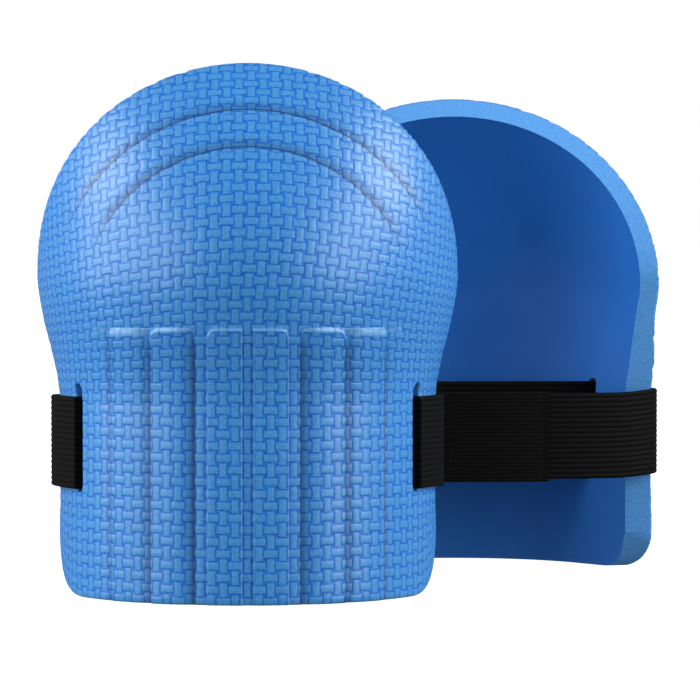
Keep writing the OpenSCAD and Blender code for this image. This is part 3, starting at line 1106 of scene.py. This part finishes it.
def foam_skin():
    """Moulded foam with a pressed basket weave: pale bricks and deep blue grooves, with painted
    highlights and painted shade at the ribs and the dome's steps.
    """
    n = Nodes("foam_woven_skin")
    u, v = n.uv()
    x, z = n.uv("front")
    cells, inside = [], []
    for value, pitch, phase in ((u, PITCH_U, PHASE_U), (v, PITCH_V, PHASE_V)):
        moved = n.math("MULTIPLY_ADD", value, 1 / pitch, 1000.5 - phase)
        cells.append(n.math("FLOOR", moved))
        inside.append(n.size(n.minus(n.math("FRACT", moved), 0.5)))
    odd = n.math("MODULO", n.plus(cells[0], cells[1]), 2.0)
    a = n.choose(odd, inside[0], inside[1])
    b = n.choose(odd, inside[1], inside[0])
    ragged = n.math("MULTIPLY_ADD", n.noise(1100, 2, 0.6), 0.12, -0.06)
    a, b = n.plus(a, ragged), n.plus(b, ragged)
    waist = n.math("MULTIPLY_ADD", n.times(a, a), 0.06, -0.01)
    narrow = n.step(n.minus(b, waist), 0.35, 0.23)
    end = n.times(n.step(b, 0.4, 0.48), n.step(a, 0.34, 0.25))
    brick = n.most(narrow, end)
    grain = n.noise(1500, 3, 0.65)
    pits = n.noise(900, 2, 0.6)
    groove = n.mix(n.step(pits, 0.4, 0.6), rgb(0, 94, 196), rgb(0, 126, 228))
    face = n.mix(n.step(grain, 0.3, 0.7), rgb(50, 136, 210), rgb(84, 164, 230))
    color = n.mix(brick, groove, face)
    tier_painted_shade, tier_painted_highlight = tier_painted_light(n, x, z)
    rib_painted_shade, rib_painted_highlight = rib_painted_light(n, u, z)
    # Painted highlight: pale colour on the ribs' edges and tops and inside the dome's steps.
    light = n.most(tier_painted_highlight, rib_painted_highlight)
    color = n.mix(light, color, rgb(150, 206, 252))
    # Painted shade: dark navy in the steps' creases and at the ribs' feet.
    color = n.mix(n.most(tier_painted_shade, rib_painted_shade), color, rgb(2, 30, 88))
    rough = n.choose(brick, 0.8, 0.48)
    height = n.plus(n.times(brick, 0.8), n.times(grain, 0.5))
    normal = n.bump(height, 0.25, 0.0002)
    n.join(normal, n.shader.inputs["Coat Normal"])
    return n.finish(
        color, rough, normal, Specular_IOR_Level=0.35, Specular_Tint=(0.5, 0.78, 1.0, 1.0),
        Coat_Weight=0.9, Coat_Roughness=0.36,
    )


def foam_cut():
    """The cut edge: paler, with fine open cells."""
    n = Nodes("foam_cut_edge")
    pits = n.step(n.cells(900), 0.1, 0.45)
    fine = n.noise(2200, 3, 0.6)
    color = n.mix(n.step(fine, 0.3, 0.7), rgb(74, 146, 224), rgb(100, 170, 236))
    color = n.mix(n.times(n.minus(1.0, pits), 0.2), color, rgb(30, 95, 185))
    normal = n.bump(n.plus(pits, fine), 0.25, 0.0002)
    return n.finish(color, 0.75, normal, Specular_IOR_Level=0.25)


def foam_inside():
    """The smooth inner face, with a fine grain."""
    n = Nodes("foam_inner_skin")
    fine = n.noise(1800, 3, 0.6)
    broad = n.noise(60, 3, 0.55)
    color = n.mix(fine, rgb(26, 106, 196), rgb(38, 124, 214))
    color = n.mix(n.step(broad, 0.35, 0.75), color, rgb(30, 112, 202))
    normal = n.bump(fine, 0.25, 0.0002)
    return n.finish(color, 0.6, normal, Specular_IOR_Level=0.35)


def webbing_material(name, dark, light, weft, rib_pitch):
    """Knitted elastic webbing: painted shade darkens it between its ribs, with cross threads and
    fine fibres.
    """
    n = Nodes(name)
    u, v = n.uv()
    threads = n.math("SINE", n.times(u, 2 * math.pi / weft))
    rib = n.size(n.math("SINE", n.times(v, math.pi / rib_pitch)))
    threads = n.math("MULTIPLY_ADD", threads, 0.2, 0.8)
    fibres = n.noise(2600, 3, 0.7)
    # The rib term is painted shade in the grooves between the ribs; the cross threads and fibres are
    # the webbing's own texture.
    rib_shade_threads_and_fibres = n.times(n.times(rib, threads), n.step(fibres, 0.2, 0.6))
    color = n.mix(rib_shade_threads_and_fibres, dark, light)
    height = n.plus(n.times(threads, 0.5), n.times(fibres, 0.5))
    height = n.plus(height, n.times(rib, 0.6))
    normal = n.bump(height, 0.4, 0.0002)
    return n.finish(color, 0.7, normal, Specular_IOR_Level=0.1)


def tape_material(name, dark, light, scale):
    """Hook and loop tape: a fine field of hooks or of brushed loops."""
    n = Nodes(name)
    tufts = n.step(n.cells(scale), 0.6, 0.1)
    fuzz = n.noise(3000, 4, 0.7)
    color = n.mix(n.times(tufts, fuzz), dark, light)
    normal = n.bump(n.plus(tufts, fuzz), 0.8, 0.0004)
    return n.finish(color, 0.8, normal, Specular_IOR_Level=0.3, Sheen_Weight=0.3)


def thread_material():
    """Black thread with a fine twist."""
    n = Nodes("stitching_thread")
    u, v = n.uv()
    twist = n.math("SINE", n.times(n.plus(n.times(u, 5.0), v), 2 * math.pi))
    color = n.mix(n.math("MULTIPLY_ADD", twist, 0.5, 0.5), rgb(3, 3, 4), rgb(12, 12, 13))
    normal = n.bump(twist, 0.5, 0.0001)
    return n.finish(color, 0.7, normal, Specular_IOR_Level=0.15)


foam_materials = [foam_skin(), foam_cut(), foam_inside()]
strap_w = PADS[0].strap_w
band_material = webbing_material(
    "elastic_webbing", rgb(0, 0, 1), rgb(15, 15, 16), 1.1, strap_w / STRAP_RIBS
)
tab_material = webbing_material(
    "fine_webbing", rgb(2, 2, 3), rgb(14, 14, 15), 0.6, (strap_w + TAB_SPREAD) / TAB_RIBS
)
hook_material = tape_material("hook_field", rgb(10, 10, 11), rgb(60, 60, 63), 1100)
loop_material = tape_material("loop_pile", rgb(14, 14, 15), rgb(62, 62, 66), 700)
thread = thread_material()


def dress(piece, materials, body, slot, *nodes):
    """Gives a piece its materials and its body, and hides the CAD nodes that it stands for."""
    for material in materials:
        piece.data.materials.append(material)
    if body:
        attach(piece, body)
    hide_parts(*nodes)
    return piece


HOOK_PATCH_OFFSET = LAP_OFFSET - STRAP_T / 2 - PATCH_T / 2 - SEW_GAP
LOOP_PATCH_OFFSET = STRAP_T / 2 + PATCH_T / 2 + SEW_GAP
STITCH_OFFSET = STRAP_T / 2 + STITCH_D * 0.3

for pad in PADS:
    name = pad.name
    foam = foam_shell(pad)
    dress(foam, foam_materials, f"{name}_pad", "eva_foam", f"{name}_foam_shell")

    band = strap_band(pad)
    dress(band, [band_material], None, "elastic_webbing", f"{name}_strap_band")
    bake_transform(band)

    hook = hook_strap(pad)
    dress(hook, [tab_material], None, "elastic_webbing", f"{name}_hook_arm", f"{name}_hook_tab")
    hinge = back_point(pad, back_angle(pad, TAB_ROOT_X), LAP_OFFSET)
    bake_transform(hook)

    loop = loop_strap(pad)
    dress(loop, [band_material], None, "elastic_webbing", f"{name}_loop_arm")
    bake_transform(loop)

    hooks = patch(pad, "hook_field", TAB_ROOT_X - 6, TAB_END_X + 1, HOOK_PATCH_OFFSET)
    dress(hooks, [hook_material], f"{name}_tab", "hook_tape", f"{name}_hook_patch")
    pile = patch(pad, "loop_field", LOOP_END_X - 1, TAB_END_X + 1, LOOP_PATCH_OFFSET)
    dress(pile, [loop_material], f"{name}_loop", "loop_tape", f"{name}_loop_patch")

    tab_rows = stitches(
        pad, "tab_stitches", (TAB_END_X + HEM_INSET, TAB_ROOT_X - 8), LAP_OFFSET + STITCH_OFFSET
    )
    dress(tab_rows, [thread], f"{name}_tab", "thread", f"{name}_hook_stitching")
    arm_rows = stitches(
        pad, "loop_stitches", (LOOP_END_X - 3, TAB_END_X + 3), -STITCH_OFFSET
    )
    dress(arm_rows, [thread], f"{name}_loop", "thread", f"{name}_loop_stitching")


# ---- Floor, lights and camera ----

def floor():
    """A plain pale floor, which gives no light back to the object."""
    n = Nodes("studio_floor")
    n.join(rgb(250, 250, 250), n.shader.inputs["Base Color"])
    n.join(0.9, n.shader.inputs["Roughness"])
    n.shader.inputs["Emission Color"].default_value = (1, 1, 1, 1)
    n.shader.inputs["Emission Strength"].default_value = 1.0
    mesh = bpy.data.meshes.new("floor")
    half = 30
    corners = [(-half, -half, 0), (half, -half, 0), (half, half, 0), (-half, half, 0)]
    mesh.from_pydata(corners, [], [(0, 1, 2, 3)])
    mesh.materials.append(n.material)
    plane = add_object("floor", mesh)
    plane.location.z = -0.0003
    plane.visible_diffuse = False
    plane.visible_glossy = False


def aim(thing, position, target):
    """Puts a light or a camera in its place and turns it to its target."""
    thing.location = position
    thing.rotation_euler = (Vector(target) - Vector(position)).to_track_quat("-Z", "Y").to_euler()


def softbox(name, position, target, size, power):
    """A soft rectangular light that looks at a target."""
    light = bpy.data.lights.new(name, "AREA")
    light.shape = "RECTANGLE"
    light.size, light.size_y = size
    light.energy = power
    aim(add_object(name, light), position, target)


def camera(position, target, lens):
    data = bpy.data.cameras.new("camera")
    data.lens = lens
    data.sensor_width = 36
    data.clip_end = 100
    shot = add_object("camera", data)
    aim(shot, position, target)
    bpy.context.scene.camera = shot


def studio_world(strength):
    """Soft light from all round; the backdrop itself shows as white."""
    world = bpy.data.worlds.new("studio")
    world.use_nodes = True
    tree = world.node_tree
    background = tree.nodes["Background"]
    background.inputs["Color"].default_value = (1, 1, 1, 1)
    rays = tree.nodes.new("ShaderNodeLightPath")
    level = tree.nodes.new("ShaderNodeMapRange")
    level.inputs["To Min"].default_value = strength
    level.inputs["To Max"].default_value = 1.0
    tree.links.new(rays.outputs["Is Camera Ray"], level.inputs["Value"])
    tree.links.new(level.outputs[0], background.inputs["Strength"])
    bpy.context.scene.world = world


WORLD_STRENGTH = 0.22
LOOK_AT = (-0.04, -0.08, 0.12)
# Name, place, target, size in metres and power in watts; the gap's light passes between the pads
SOFTBOXES = [
    ("left_top_softbox", (-1.05, -0.1, 0.74), LOOK_AT, (0.5, 0.6), 7.4),
    ("right_top_softbox", (0.97, -0.1, 0.74), LOOK_AT, (0.5, 0.6), 8.8),
    ("left_side_softbox", (-1.1, -0.85, 0.35), LOOK_AT, (0.7, 0.9), 7.4),
    ("gap_softbox", (-0.9, -0.12, 0.18), (0.1, 0.03, 0.12), (0.3, 0.3), 1.5),
    ("right_side_softbox", (1.1, -0.85, 0.35), LOOK_AT, (0.7, 0.9), 9.5),
]
# The camera stands straight in front of the front pad and turns a little towards the rear one
CAMERA_DISTANCE = 1.5
CAMERA_Z = 0.132
CAMERA_TURN = 0.0393
TARGET_Z = 0.0929
LENS = 200.6

floor()
studio_world(WORLD_STRENGTH)
bpy.context.scene.view_settings.view_transform = "Standard"
for values in SOFTBOXES:
    softbox(*values)
front_x, front_y = (float(c) for c in PADS[0].origin[:2])
camera(
    (front_x, front_y - CAMERA_DISTANCE, CAMERA_Z),
    (front_x + CAMERA_TURN, front_y, TARGET_Z),
    LENS,
)
